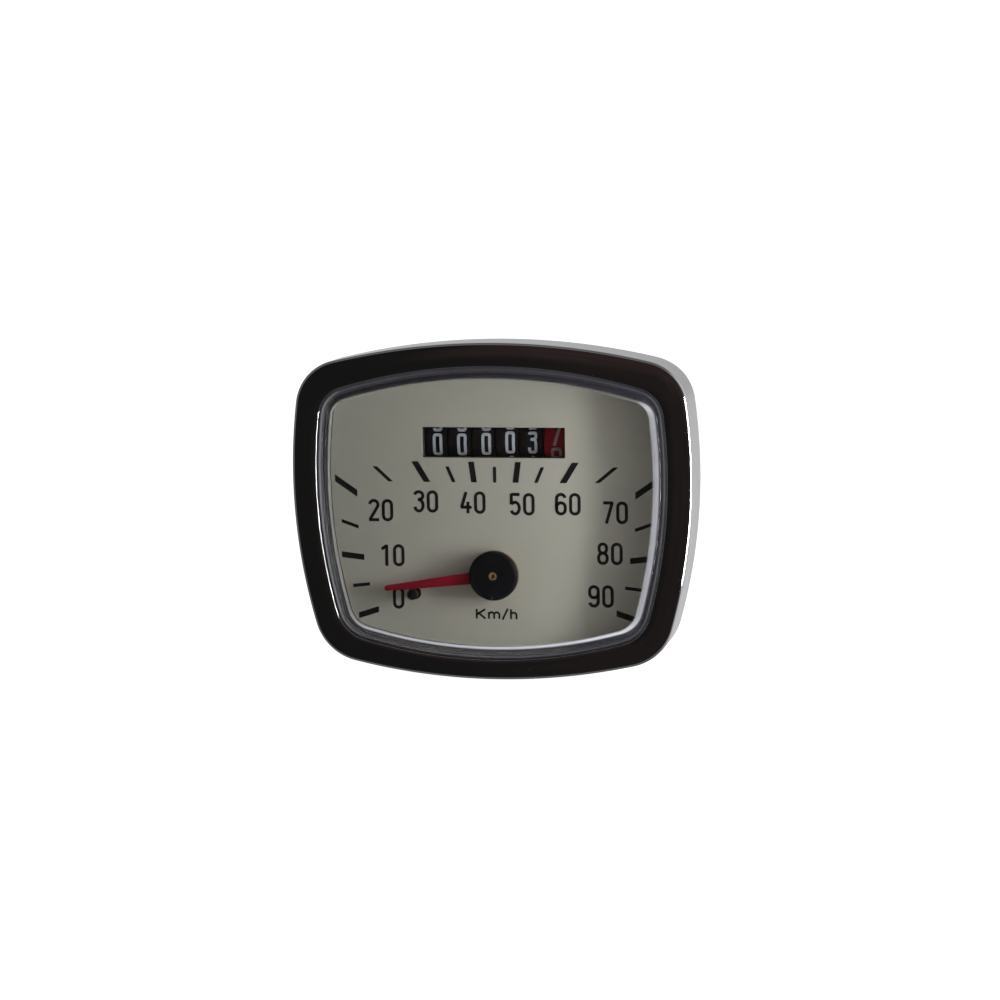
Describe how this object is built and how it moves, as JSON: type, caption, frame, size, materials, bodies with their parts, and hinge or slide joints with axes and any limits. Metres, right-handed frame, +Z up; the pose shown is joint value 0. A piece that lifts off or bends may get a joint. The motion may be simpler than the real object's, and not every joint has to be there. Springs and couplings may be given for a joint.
{
  "type": "motor-cycle speedometer",
  "caption": "Motor-cycle speedometer with a rounded square polished bezel, domed clear lens, red pointer and row of number drums, turned by a cable through a magnet and worm drive.",
  "frame": {"origin": "on the back of the case, on the pointer and drive axis, midway between the two rear studs", "axes": "-Y is the way the dial faces, +Y the way the studs and the cable nose point, +Z up the dial, +X to the right as the dial is read"},
  "size_m": [0.0866, 0.0534, 0.0721],
  "materials": {
    "polished_steel": "polished, lightly hazed",
    "clear_lens": "clear moulded acrylic",
    "lens_rubber": "matt",
    "dial_paint": "matt off-white paint with black print",
    "case_paint": "satin dark grey paint",
    "gasket_rubber": "matt",
    "zinc_plate": "zinc plated",
    "die_cast": "die-cast, matt",
    "bronze": "sintered bronze",
    "soft_iron": "grey, machined",
    "brass": "bright, turned or stamped",
    "spring_bronze": "rolled strip",
    "black_plastic": "glossy black",
    "pointer_red": "satin red paint",
    "bright_steel": "ground",
    "cup_aluminium": "spun, bright",
    "magnet_grey": "sintered, dark grey",
    "gear_nylon": "natural nylon",
    "bracket_steel": "zinc plated sheet",
    "spring_steel": "blued",
    "drum_red": "matt red with white figures",
    "drum_black": "matt black with white figures",
    "insulator": "brown laminate",
    "bulb_glass": "clear glass"
  },
  "bodies": {
    "instrument": {"bezel": "polished_steel", "lens": "clear_lens", "lens_seal": "lens_rubber", "dial": "dial_paint", "case": "case_paint", "mounting_gasket": "gasket_rubber", "studs": "zinc_plate", "frame": "die_cast", "threaded_nose": "zinc_plate", "frame_screws": "zinc_plate", "rear_bush": "bronze", "front_bush": "bronze", "flux_ring": "soft_iron", "bridge": "brass", "bridge_screws": "zinc_plate", "front_bearing": "brass", "stop_pin": "black_plastic", "spring_stud": "brass", "hairspring": "spring_bronze", "counter_bracket": "bracket_steel", "bracket_screws": "zinc_plate", "drum_shaft": "bright_steel", "shaft_clips": "spring_steel", "end_washer": "bright_steel", "carrier_plates": "bracket_steel", "lamp_holder": "zinc_plate", "lamp_insulator": "insulator", "lamp_blade": "brass", "lamp_cap": "brass", "lamp_bulb": "bulb_glass"},
    "pointer": {"needle": "pointer_red", "hub_cap": "black_plastic", "hub_disc": "brass", "hub_bush": "brass", "pointer_spindle": "bright_steel", "spring_collet": "brass", "drag_cup": "cup_aluminium", "cup_hub": "brass"},
    "drive": {"drive_spindle": "bright_steel", "magnet": "magnet_grey", "magnet_hub": "bright_steel", "spindle_worm": "brass", "thrust_washer": "bright_steel"},
    "cross": {"cross_shaft": "bright_steel", "cross_wheel": "gear_nylon", "cross_worm": "brass"},
    "tenths": {"tenths_drum": "drum_red", "drum_wheel": "gear_nylon"},
    "units": {"units_drum": "drum_black"},
    "tens": {"tens_drum": "drum_black"},
    "hundreds": {"hundreds_drum": "drum_black"},
    "thousands": {"thousands_drum": "drum_black"},
    "ten_thousands": {"ten_thousands_drum": "drum_black"},
    "transfer_tenths": {"tenths_pinion": "gear_nylon"},
    "transfer_units": {"units_pinion": "gear_nylon"},
    "transfer_tens": {"tens_pinion": "gear_nylon"},
    "transfer_hundreds": {"hundreds_pinion": "gear_nylon"},
    "transfer_thousands": {"thousands_pinion": "gear_nylon"}
  },
  "joints": [
    {"name": "pointer_turn", "type": "hinge", "parent": "instrument", "child": "pointer", "pos_m": [0, -0.03, 0], "axis": [0, 1, 0], "range_deg": [0, 204.4], "stiffness_Nm_per_rad": 0.0001, "springref_deg": -20.05, "deforming": ["hairspring"]},
    {"name": "drive_turn", "type": "hinge", "parent": "instrument", "child": "drive", "pos_m": [0, -0.0129, 0], "axis": [0, 1, 0], "continuous": true},
    {"name": "cross_shaft_turn", "type": "hinge", "parent": "instrument", "child": "cross", "pos_m": [0.00757, -0.0129, -0.00258], "axis": [0.3227, 0, 0.9465], "continuous": true},
    {"name": "tenths_drum_turn", "type": "hinge", "parent": "instrument", "child": "tenths", "pos_m": [0.013, -0.0224, 0.0283], "axis": [-1, 0, 0], "continuous": true},
    {"name": "units_drum_turn", "type": "hinge", "parent": "instrument", "child": "units", "pos_m": [0.0078, -0.0224, 0.0283], "axis": [-1, 0, 0], "continuous": true},
    {"name": "tens_drum_turn", "type": "hinge", "parent": "instrument", "child": "tens", "pos_m": [0.0026, -0.0224, 0.0283], "axis": [-1, 0, 0], "continuous": true},
    {"name": "hundreds_drum_turn", "type": "hinge", "parent": "instrument", "child": "hundreds", "pos_m": [-0.0026, -0.0224, 0.0283], "axis": [-1, 0, 0], "continuous": true},
    {"name": "thousands_drum_turn", "type": "hinge", "parent": "instrument", "child": "thousands", "pos_m": [-0.0078, -0.0224, 0.0283], "axis": [-1, 0, 0], "continuous": true},
    {"name": "ten_thousands_drum_turn", "type": "hinge", "parent": "instrument", "child": "ten_thousands", "pos_m": [-0.013, -0.0224, 0.0283], "axis": [-1, 0, 0], "continuous": true},
    {"name": "transfer_tenths_turn", "type": "hinge", "parent": "instrument", "child": "transfer_tenths", "pos_m": [0.0104, -0.0224, 0.02396], "axis": [-1, 0, 0], "continuous": true},
    {"name": "transfer_units_turn", "type": "hinge", "parent": "instrument", "child": "transfer_units", "pos_m": [0.0052, -0.0224, 0.02396], "axis": [-1, 0, 0], "continuous": true},
    {"name": "transfer_tens_turn", "type": "hinge", "parent": "instrument", "child": "transfer_tens", "pos_m": [0, -0.0224, 0.02396], "axis": [-1, 0, 0], "continuous": true},
    {"name": "transfer_hundreds_turn", "type": "hinge", "parent": "instrument", "child": "transfer_hundreds", "pos_m": [-0.0052, -0.0224, 0.02396], "axis": [-1, 0, 0], "continuous": true},
    {"name": "transfer_thousands_turn", "type": "hinge", "parent": "instrument", "child": "transfer_thousands", "pos_m": [-0.0104, -0.0224, 0.02396], "axis": [-1, 0, 0], "continuous": true}
  ],
  "couplings": [
    {"joint": "cross_shaft_turn", "follows": "drive_turn", "ratio": 0.035714},
    {"joint": "tenths_drum_turn", "follows": "drive_turn", "ratio": 0.00071429},
    {"joint": "units_drum_turn", "follows": "drive_turn", "ratio": 0.000071429},
    {"joint": "tens_drum_turn", "follows": "drive_turn", "ratio": 0.0000071429},
    {"joint": "hundreds_drum_turn", "follows": "drive_turn", "ratio": 0.00000071429},
    {"joint": "thousands_drum_turn", "follows": "drive_turn", "ratio": 0.000000071429},
    {"joint": "ten_thousands_drum_turn", "follows": "drive_turn", "ratio": 0.0000000071429},
    {"joint": "transfer_tenths_turn", "follows": "drive_turn", "ratio": 0.0002381},
    {"joint": "transfer_units_turn", "follows": "drive_turn", "ratio": 0.00002381},
    {"joint": "transfer_tens_turn", "follows": "drive_turn", "ratio": 0.000002381},
    {"joint": "transfer_hundreds_turn", "follows": "drive_turn", "ratio": 0.0000002381},
    {"joint": "transfer_thousands_turn", "follows": "drive_turn", "ratio": 0.00000002381}
  ]
}
